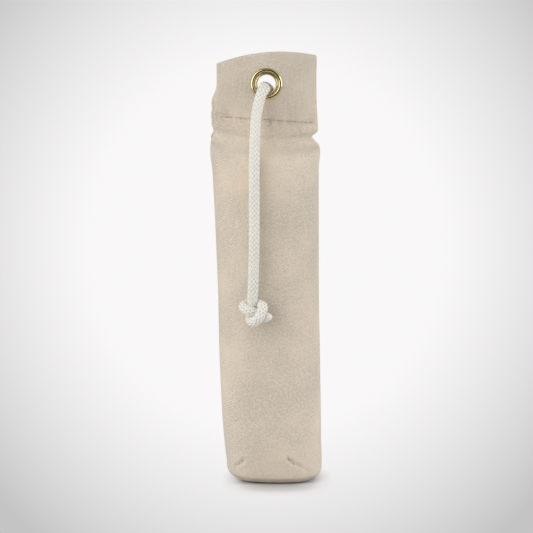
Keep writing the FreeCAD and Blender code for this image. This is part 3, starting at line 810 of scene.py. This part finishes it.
def tab_sway(x, height):
    """How far the whole tab stands off its plane: soft waves that leave the eyelet's seat flat."""
    seat = smooth_step(np.hypot(x - EYELET[0], height - EYELET[2]), 12.5, 24)
    free = smooth_step(height, TAB_FOOT, 262)
    return 1.9 * seat * free * noise_at(x / 22, height / 26, 7.3)


def dart_relief(x, height):
    """A dart is a narrow valley with the canvas puffed up along both sides and pinched in above its tip."""
    relief = np.zeros_like(x)
    for start, _, end in DARTS:
        start, end = np.array(start), np.array(end)
        ahead = end - start
        share = np.clip(((x - start[0]) * ahead[0] + (height - start[1]) * ahead[1]) / (ahead @ ahead), 0, 1)
        away = np.hypot(x - start[0] - share * ahead[0], height - start[1] - share * ahead[1])
        away = away + 0.5 * np.sin(share * 11) * share
        fade = 1 - 0.72 * share + 0.22 * np.sin(share * 16)
        relief += fade * (0.42 * bump(away, 2.6, 1.5) - 1.45 * bump(away, 0, 0.95))
        relief -= 0.45 * bump(np.hypot(x - start[0], height - start[1] - 0.6), 0, 1.5)
    return relief


def cloth_relief(x, height, columns):
    """How far the canvas stands out of its smooth shape: wrinkles, puckers, seams and the crease."""
    face = smooth_step(from_corner(columns), -2.0, 3.0)
    side = face_of(columns)
    seam = seam_height(x)
    crease = TAB_FOOT
    relief = 0.45 * noise_at(x / 30, height / 60, side * 5.0) * smooth_step(height, 262, 235)
    relief += 0.30 * noise_at(x / 9, height / 42, 3 + side * 5.0) * smooth_step(height, 250, 215)
    shoulder = smooth_step(height, 206, 240) * smooth_step(height, crease + 1.5, crease - 3)
    relief += 1.1 * shoulder * noise_at(x / 8.5, height / 30, 11 + side * 3.0)
    relief += 0.5 * shoulder * noise_at(x / 3.8, height / 16, 17 + side * 3.0)
    relief -= face * 0.5 * bump(height, crease, 1.5)
    relief += face * 0.25 * bump(height, 251.5, 3.4)
    hole = np.maximum(0, np.cos(TAU * (x - SEAM_LEFT[0] + 1.9) / STITCH_PITCH)) ** 3
    relief -= face * (0.35 * bump(height, seam, 1.4) + 0.85 * hole * bump(height, seam, 0.9))
    gather = np.exp(-np.abs(height - seam) / 7.0) * smooth_step(height, crease - 2, crease + 3)
    pucker = 1.6 * noise_at(x / 2.6, height / 11, 23 + side) + 1.4 * noise_at(x / 6, height / 20, 31 + side)
    relief += face * gather * pucker + face * dart_relief(x, height)
    return relief


def wall_ring(columns, level):
    """A row round the stuffed part. Its upper rows turn by degrees into the flat tab with folded gussets."""
    edges = [soft_curve(level, BODY_HEIGHTS, values) for values in (BODY_LEFT, BODY_RIGHT, BODY_DEPTH)]
    ring = stuffed_section(columns, *edges)
    folded = smooth_step(level, GABLE_FOOT, TAB_FOOT)
    x, y, ply = tab_section(columns, TAB_FOOT)
    outwards = np.stack([np.gradient(y, columns), -np.gradient(x, columns)], 1)
    flat = np.stack([x, y], 1) + ply[:, None] * outwards
    ring = ring + (flat - ring) * folded
    span = np.interp(ring[:, 0], (ring[:, 0].min(), ring[:, 0].max()), edges[:2])
    lift = base_lift(ring[:, 0], ring[:, 1]) * smooth_step(level, 60, 8)
    return np.column_stack([span, ring[:, 1], level + lift])


def cover_rows(columns):
    """The tube's rows, from the base's seam up the outside, over the top edge and down inside the tab.

    Each is an array of points, one for each column. With them come the number of the wall's first row, and
    the tab's rows on the outside, from the facing's foot up, with the rows inside at the same heights.
    """
    rows = []
    left, right, depth = BODY_LEFT[0], BODY_RIGHT[0], BODY_DEPTH[0]
    middle = (left + right) / 2
    underside = stuffed_section(columns, left + EDGE_RADIUS, right - EDGE_RADIUS, depth - EDGE_RADIUS * 0.8)
    for share in (0, 0.03, 0.08, 0.18, 0.32, 0.48, 0.64, 0.80, 0.92):
        x = middle + (underside[:, 0] - middle) * (0.84 + 0.16 * share)
        y = underside[:, 1] * share
        rows.append(np.stack([x, y, base_lift(x, y) + 0.7 * bump(y, 0, 1.3)], 1))
    for turn in np.radians((90, 74, 58, 42, 28, 14)):
        inset = EDGE_RADIUS * (1 - math.cos(turn))
        ring = stuffed_section(columns, left + inset, right - inset, depth - inset * 0.8)
        height = EDGE_RADIUS * (1 - math.sin(turn))
        rows.append(np.column_stack([ring, base_lift(ring[:, 0], ring[:, 1]) + height]))
    first_wall = len(rows)

    walls = (np.linspace(7.6, 24, 15), np.linspace(28, 224, 44), np.linspace(225.6, TAB_FOOT - 1.2, 17))
    for level in np.concatenate(walls):
        rows.append(wall_ring(columns, level))

    def tab_row(level, inwards, turn=0.0):
        """A row of the tab. Its level is a height up to STRAIGHT_FOOT, then 1 plus a share of the rest."""
        share = level - 1 if level <= 2 else 0.0
        height = STRAIGHT_FOOT + share * 38 if level <= 2 else level
        x, y, ply = tab_section(columns, height)
        outwards = np.stack([np.gradient(y, columns), -np.gradient(x, columns)], 1)
        outwards /= np.linalg.norm(outwards, axis=1)[:, None]
        side = -1.0 if inwards else 1.0
        place = np.stack([x, y], 1) + (side * math.cos(turn) * ply)[:, None] * outwards
        tuck = smooth_step(-from_corner(columns), 0.5, 9)
        crest = top_height(x) - ply - 5.0 * tuck
        z = np.full(len(columns), height)
        if level <= 2:
            z = STRAIGHT_FOOT + share * (crest - STRAIGHT_FOOT) + ply * math.sin(turn)
        place[:, 1] += tab_sway(x, z)
        return np.column_stack([place, z])

    levels = np.concatenate([np.linspace(TAB_FOOT, 250.8, 5), np.linspace(FACING_FOOT, STRAIGHT_FOOT, 11),
                             1 + np.linspace(0, 1, 21)[1:]])
    outside = {}
    for level in levels:
        outside[level] = len(rows)
        rows.append(tab_row(level, False))
    for turn in np.radians((30, 60, 90)):
        rows.append(tab_row(2.0, False, turn))
    for turn in np.radians((60, 30)):
        rows.append(tab_row(2.0, True, turn))
    inside = {}
    for level in levels[::-1]:
        if level <= 2 or level >= FACING_FOOT:
            inside[level] = len(rows)
            rows.append(tab_row(level, True))
    pairs = {outside[level]: inside[level] for level in inside}
    return np.array(rows), first_wall, pairs


def flow(values, width=5):
    """The same values with each one averaged over its neighbours."""
    wide = np.pad(values, width, mode="edge")
    return np.convolve(wide, np.ones(2 * width + 1) / (2 * width + 1), mode="valid")


def filled_out(rows, columns, crease_row):
    """The rows up to the crease, blown out by a cloth simulation as the filling does it.

    A coarse copy of the stuffed part is put under pressure, with its base and its crease held. No point moves
    further than REACH, and each row keeps its left and right edges and its depth.
    """
    scene = bpy.context.scene
    picked = np.unique(np.linspace(0, crease_row, SACK_ROWS).astype(int))
    spots = np.arange(0, len(columns), SACK_STEP)
    start = rows[np.ix_(picked, spots)]
    sack = make_object("sack", start.reshape(-1, 3), ring_quads(len(picked), len(spots)), None)
    hold = np.maximum(smooth_step(start[:, :, 2], 15, 7), smooth_step(start[:, :, 2], 236, 245))
    group = sack.vertex_groups.new(name="held")
    for index, weight in enumerate(hold.ravel()):
        group.add([index], float(weight), "REPLACE")
    cloth = sack.modifiers.new("cloth", "CLOTH")
    cloth.settings.vertex_group_mass = "held"
    cloth.settings.quality = 6
    cloth.settings.use_pressure = True
    cloth.settings.uniform_pressure_force = PRESSURE
    cloth.settings.effector_weights.gravity = 0
    cloth.collision_settings.use_collision = False
    cloth.point_cache.frame_start, cloth.point_cache.frame_end = 1, FRAMES
    for number in range(1, FRAMES + 1):
        scene.frame_set(number)
    blown = sack.evaluated_get(bpy.context.evaluated_depsgraph_get()).to_mesh()
    after = np.array([v.co for v in blown.vertices], float).reshape(start.shape) / MM
    scene.frame_set(1)
    bpy.data.objects.remove(sack)

    moved = (after - start) * (1 - hold)[:, :, None]
    length = np.linalg.norm(moved, axis=2)
    moved *= (REACH * np.tanh(length / REACH) / (length + 1e-9))[:, :, None]
    # Each row is drawn in by as much as it grew at its left, right, front and back.
    for axis in (0, 1):
        low, high = start[:, :, axis].min(1), start[:, :, axis].max(1)
        new = start[:, :, axis] + moved[:, :, axis]
        grown_low, grown_high = flow(new.min(1) - low), flow(new.max(1) - high)
        share = (start[:, :, axis] - low[:, None]) / np.maximum(high - low, 1)[:, None]
        moved[:, :, axis] -= grown_low[:, None] * (1 - share) + grown_high[:, None] * share
    moved *= (1 - hold)[:, :, None]
    around = np.append(columns[spots], GIRTH)
    moved = np.concatenate([moved, moved[:, :1]], axis=1)
    for axis in range(3):
        ring = np.array([np.interp(columns, around, line[:, axis]) for line in moved])
        for column in range(len(columns)):
            growth = np.interp(np.arange(crease_row + 1), picked, ring[:, column])
            rows[:crease_row + 1, column, axis] += growth
    return rows


def add_cover(canvas):
    """One closed skin: the stuffed part, the tab's two faces, their tucked gussets, and the eyelet's hole."""
    columns = pattern_columns()[:-1]
    rows, first_wall, pairs = cover_rows(columns)
    count = len(columns)
    first_tab, last_inside = min(pairs), max(pairs.values())
    rows = filled_out(rows, columns, first_tab - 5)

    # Relief stands out from the smooth shape, and both sides of a turned-in face follow it.
    level = rows[:, :, 2].copy()
    across = np.roll(rows, -1, axis=1) - np.roll(rows, 1, axis=1)
    upwards = np.gradient(rows, axis=0)
    normal = np.cross(across, upwards)
    normal /= np.linalg.norm(normal, axis=2)[:, :, None] + 1e-9
    for row in range(1, len(rows)):
        relief = cloth_relief(rows[row, :, 0], level[row], columns)
        if row > first_tab:
            face = smooth_step(from_corner(columns), 0.5, 4.0)
            rows[row, :, 1] += face_of(columns) * relief * face
        else:
            rows[row] += normal[row] * (relief * smooth_step(row, 0, first_wall))[:, None]
    dip = smooth_step(level, 226, 243) * smooth_step(level, 268, 252)
    rows[:, :, 2] += (crease_height(rows[:, :, 0]) - TAB_FOOT) * dip

    points = rows.reshape(-1, 3)
    steps = np.linalg.norm(np.diff(rows, axis=0), axis=2)
    run = np.concatenate([np.zeros((1, count)), np.cumsum(steps, axis=0)])
    wrapped = np.append(columns, GIRTH)

    def is_hole(row, column):
        """True for a cell under the eyelet's flange."""
        corners = rows[[row, row + 1]][:, [column, (column + 1) % count]].reshape(-1, 3)
        middle = corners.mean(0) - EYELET
        return math.hypot(middle[0], middle[2]) < HOLE_RADIUS and abs(corners[:, 0]).max() < 2 * HOLE_RADIUS

    faces, uvs = [], []

    def add_face(places):
        faces.append(tuple(row * count + column % count for row, column in places))
        for row, column in places:
            if row < first_wall - 3:
                uvs.append(((rows[row, column % count, 0] + 200) * MM, rows[row, column % count, 1] * MM))
            else:
                uvs.append((wrapped[column] * MM, run[row, column % count] * MM))

    tab_outside = sorted(pairs)
    holes = {(row, column) for row in tab_outside[:-1] for column in range(count) if is_hole(row, column)}
    inside_holes = {(pairs[row + 1], column) for row, column in holes}
    for row in range(len(rows) - 1):
        for column in range(count):
            if (row, column) not in holes and (row, column) not in inside_holes:
                add_face([(row, column), (row, column + 1), (row + 1, column + 1), (row + 1, column)])
    # The hole's wall joins the two sides of each face round the cells left out.
    for row, column in sorted(holes):
        below, above = (row - 1, column), (row + 1, column)
        after, before = (row, column + 1), (row, column - 1)
        a, b, c, d = (row, column), (row, column + 1), (row + 1, column + 1), (row + 1, column)
        for neighbour, start, end in ((below, a, b), (after, b, c), (above, c, d), (before, d, a)):
            if neighbour not in holes:
                add_face([start, end, (pairs[end[0]], end[1]), (pairs[start[0]], start[1])])
    # The pocket inside the tab ends at the facing's foot.
    foot = [Vector((x * 10, y * 10, 0)) for x, y in rows[last_inside][:, :2]]
    for corners in tessellate_polygon([foot]):
        add_face([(last_inside, corner) for corner in corners])

    cover = make_object("canvas_cover", points, faces, canvas, uvs)
    tidy = bmesh.new()
    tidy.from_mesh(cover.data)
    bmesh.ops.remove_doubles(tidy, verts=[v for v in tidy.verts if v.co.z < 0.012], dist=2e-5)
    bmesh.ops.recalc_face_normals(tidy, faces=tidy.faces)
    tidy.to_mesh(cover.data)
    tidy.free()
    smoother = cover.modifiers.new("smooth", "SUBSURF")
    smoother.levels = smoother.render_levels = 1
    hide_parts("canvas_body", "side_seam_allowance", "tab_front", "facing_front", "facing_back",
                "tab_back", "tuck_left", "tuck_right")
    return cover


def add_foam(material, clearance=4.0, rounding=5.0, foot=7.0, head=233.0):
    """The foam core, which fills the cover from the base to the shoulder."""
    columns = pattern_columns()[:-1]
    rows = []
    for level in np.linspace(foot, head, 40):
        ring = wall_ring(columns, level)
        middle = (ring.max(0) + ring.min(0)) / 2
        half = (ring.max(0) - ring.min(0)) / 2
        edge = rounding * (1 - math.sqrt(max(0.0, 1 - (1 - min(level - foot, rounding) / rounding) ** 2)))
        ring[:, :2] = middle[:2] + (ring[:, :2] - middle[:2]) * (1 - (clearance + edge) / half[:2])
        rows.append(ring)
    count = len(columns)
    faces = ring_quads(len(rows), count)
    for row in (0, len(rows) - 1):
        outline = [Vector((x, y, 0)) for x, y in rows[row][:, :2]]
        faces += [tuple(row * count + corner for corner in cap) for cap in tessellate_polygon([outline])]
    core = make_object("foam_block", np.concatenate(rows), faces, material)
    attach(core, "bumper")
    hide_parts("foam_core")


# ---------------------------------------------------------------- stitches

THREAD = 0.70
STITCH_LENGTH, STITCH_PITCH = 2.1, 3.3


def skin_of(piece):
    """A piece's evaluated surface, to lay thread on."""
    return BVHTree.FromObject(piece, bpy.context.evaluated_depsgraph_get())


def on_skin(skin, x, z, side):
    """The outermost point of the skin at a place on the front (side -1) or back (side 1), in millimetres."""
    hit = skin.ray_cast(Vector((x, side * 90, z)) * MM, Vector((0, -side, 0)))[0]
    return np.array(hit) / MM


def stitch_paths(skin, start, end, side):
    """Centrelines of a row of stitches between two places, each dipping into the canvas at both ends."""
    start, end = np.array(start, float), np.array(end, float)
    length = np.linalg.norm(end - start)
    ahead = (end - start) / length
    paths = []
    for number in range(int(length / STITCH_PITCH) + 1):
        first = number * STITCH_PITCH + 0.35 * math.sin(number * 2.3)
        last = first + STITCH_LENGTH + 0.25 * math.sin(number * 1.7)
        if last > length:
            break
        tilt = 0.16 * math.sin(number * 3.1)
        path = []
        for share in np.linspace(0, 1, 9):
            place = start + ahead * (first + (last - first) * share) + np.array([0, tilt * (share - 0.5)])
            rise = 0.26 - 1.2 * (2 * share - 1) ** 6
            path.append(on_skin(skin, *place, side) + np.array([0, side * rise, 0]))
        paths.append(np.array(path))
    return paths


def thread_object(name, paths, material, step=0.22, sides=8):
    """Thread laid along each path, drawn in at its ends."""
    made = ([], [], [])
    for path in paths:
        path = even_points(path, step)
        _, outward, sideways = carried_frames(path, (0.1, 1.0, 0.2))
        run = np.arange(len(path)) * step
        radius = THREAD / 2 * (0.55 + 0.45 * smooth_step(np.minimum(run, run[-1] - run), 0, 0.4))
        add_tube(made, path, outward, sideways, radius, radius, run, sides, TAU * THREAD / 2 * MM)
    points, faces, uvs = made
    return make_object(name, points, faces, material, uvs)


def add_stitches(cover, thread):
    skin = skin_of(cover)
    start, end = (SEAM_LEFT[0] - 1.5, SEAM_LEFT[1]), (SEAM_RIGHT[0] + 1.5, SEAM_RIGHT[1])
    paths = [path for side in (-1, 1) for path in stitch_paths(skin, start, end, side)]
    seam = thread_object("closing_seam", paths, thread)
    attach(seam, "tab")
    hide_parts("closing_seam_thread")
    paths = [path for tip, end, _ in DARTS for side in (-1, 1) for path in stitch_paths(skin, tip, end, side)]
    darts = thread_object("dart_stitches", paths, thread)
    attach(darts, "bumper")
    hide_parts("dart_thread")


# ---------------------------------------------------------------- rope and knots, put together

KNOT_ROPE = 7.2            # the rope's diameter where a knot squeezes it
KNOT_SCALE = np.array([6.0, 6.0, 6.9])     # its turns press into one another, so they lie closer than that
MELTED_RADIUS = 3.6
HAND_TAIL_AZIMUTH, STOPPER_TAIL_AZIMUTH = -26.0, 160.0
HAND_KNOT_MIDDLE = np.array([-8.0, -38.0, 126.8])
STOPPER_KNOT_MIDDLE = np.array([5.0, 14.6, 262.6])


def placed_knot(chain, middle, tail_azimuth):
    """A tight knot turned and moved to its place, from the arm that comes down to it to its tail."""
    first, last = 19, 62       # the beads that touch others
    body = chain[first:last + 1]
    chain = (chain - (body.min(0) + body.max(0)) / 2) * KNOT_SCALE
    tail = chain[last + 4]
    turn = math.radians(tail_azimuth) - math.atan2(tail[1], tail[0])
    cos, sin = math.cos(turn), math.sin(turn)
    chain = chain @ np.array([[cos, sin, 0], [-sin, cos, 0], [0, 0, 1]])
    return chain[first - 1:last + 3] + middle


def rounded_end(name, line, material, radius, steps=26, sides=28):
    """The melted tip: a stub round the end of a line, closed by a dome, a little lumpy."""
    _, outward, sideways = carried_frames(line, (0.0, 0.2, 1.0))
    run = arc_length(line)
    points = []
    for place in run[-1] * np.sin(np.linspace(0, math.pi / 2, steps))[:-1]:
        share = place / run[-1]
        centre, w, h = (np.array([np.interp(place, run, part[:, k]) for k in range(3)])
                        for part in (line, outward, sideways))
        swell = radius * (1 - share ** 3.2) ** 0.5 * (0.94 + 0.06 * math.sin(share * 5))
        for side in range(sides):
            cos, sin = math.cos(TAU * side / sides), math.sin(TAU * side / sides)
            lump = 1 + 0.05 * noise.noise(Vector((cos * 1.3, sin * 1.3, share * 2.5)))
            points.append(centre + swell * lump * (w * cos + h * sin))
    faces = ring_quads(steps - 1, sides) + [tuple(reversed(range(sides)))]
    tip, last = len(points), len(points) - sides
    points.append(line[-1])
    faces += [(last + side, last + (side + 1) % sides, tip) for side in range(sides)]
    return make_object(name, points, faces, material)


def add_rope(rope, melted):
    """The rope from knot to knot, plaited along one line so that its strands run on into both knots."""
    route = even_points(route_line(), PATH_STEP)
    knot = tight_overhand()
    hand = placed_knot(knot, HAND_KNOT_MIDDLE, HAND_TAIL_AZIMUTH)
    stopper = placed_knot(knot, STOPPER_KNOT_MIDDLE, STOPPER_TAIL_AZIMUTH)[::-1]
    # The route's ends make way for the knots' arms.
    index = np.arange(len(route))
    behind = (index < 40) & (route[:, 2] < stopper[-1, 2] + 2.5)
    below = (index > 40) & (route[:, 2] < hand[0, 2] + 4.0)
    between = route[~behind & ~below]
    joins = np.array([stopper[-1], between[0]]), np.array([between[-1], hand[0]])
    parts = [even_points(part, PATH_STEP) for part in (stopper, joins[0], between, joins[1], hand)]
    start, end = len(parts[0]) - 1, sum(len(part) for part in parts[:4]) - 1
    line = np.concatenate(parts)
    index = np.arange(len(line))
    line = relaxed(line, 80, 0.5 * np.maximum(bump(index, start + 2, 9), bump(index, end - 3, 10)))
    line = relaxed(line, 4, np.full(len(line), 0.5))

    in_knot = np.maximum(smooth_step(index, start + 6, start - 8), smooth_step(index, end - 6, end + 8))
    slim = 1 - (1 - KNOT_ROPE / ROPE_DIAMETER) * in_knot
    lip = bump(line[:, 1], -0.5, 9.0) * smooth_step(line[:, 2], 262, 272) * (1 - in_knot)
    squeeze = np.stack([slim * (1 - 0.26 * lip), slim * (1 + 0.22 * lip)], 1)

    tail = int(6.0 / PATH_STEP)
    throw_rope = braid("throw_rope", line, start, end, rope, squeeze)
    hand_knot = braid("hand_knot_braid", line, end, len(line) - 1 - tail, rope, squeeze)
    stopper_knot = braid("stopper_knot_braid", line, tail, start, rope, squeeze)
    hand_end = rounded_end("hand_end_melted", line[-tail - 4:], melted, MELTED_RADIUS)
    stopper_end = rounded_end("stopper_end_melted", line[tail + 3::-1], melted, MELTED_RADIUS)
    for piece, body, node in (
        (hand_knot, "rope_hang", "hand_knot"), (hand_end, "rope_hang", "hand_knot_end"),
        (stopper_knot, "rope_bight", "stopper_knot"), (stopper_end, "rope_bight", "stopper_knot_end"),
    ):
        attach(piece, body)
        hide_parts(node)
    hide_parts("rope_back_leg", "rope_front_bend", "rope_front_leg")
    return throw_rope


# ---------------------------------------------------------------- the scene

CANVAS_TONE = (0.834, 0.744, 0.628)
ROPE_TONE = (0.87, 0.85, 0.80)
THREAD_TONE = (0.54, 0.46, 0.34)

canvas = canvas_material(CANVAS_TONE)
rope = yarn_material("rope_yarn", ROPE_TONE, 1.0, 0.00055, STRAND_WIDTH / 2 * MM)
thread = yarn_material("thread", THREAD_TONE, 0.8, 0.00028, THREAD / 2 * MM)
brass = brass_material()

add_camera()
add_light()
add_stage()
throw_rope = add_rope(rope, melted_material())
add_eyelet(brass)
cover = add_cover(canvas)
add_foam(foam_material())
add_stitches(cover, thread)

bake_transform(throw_rope)
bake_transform(cover)
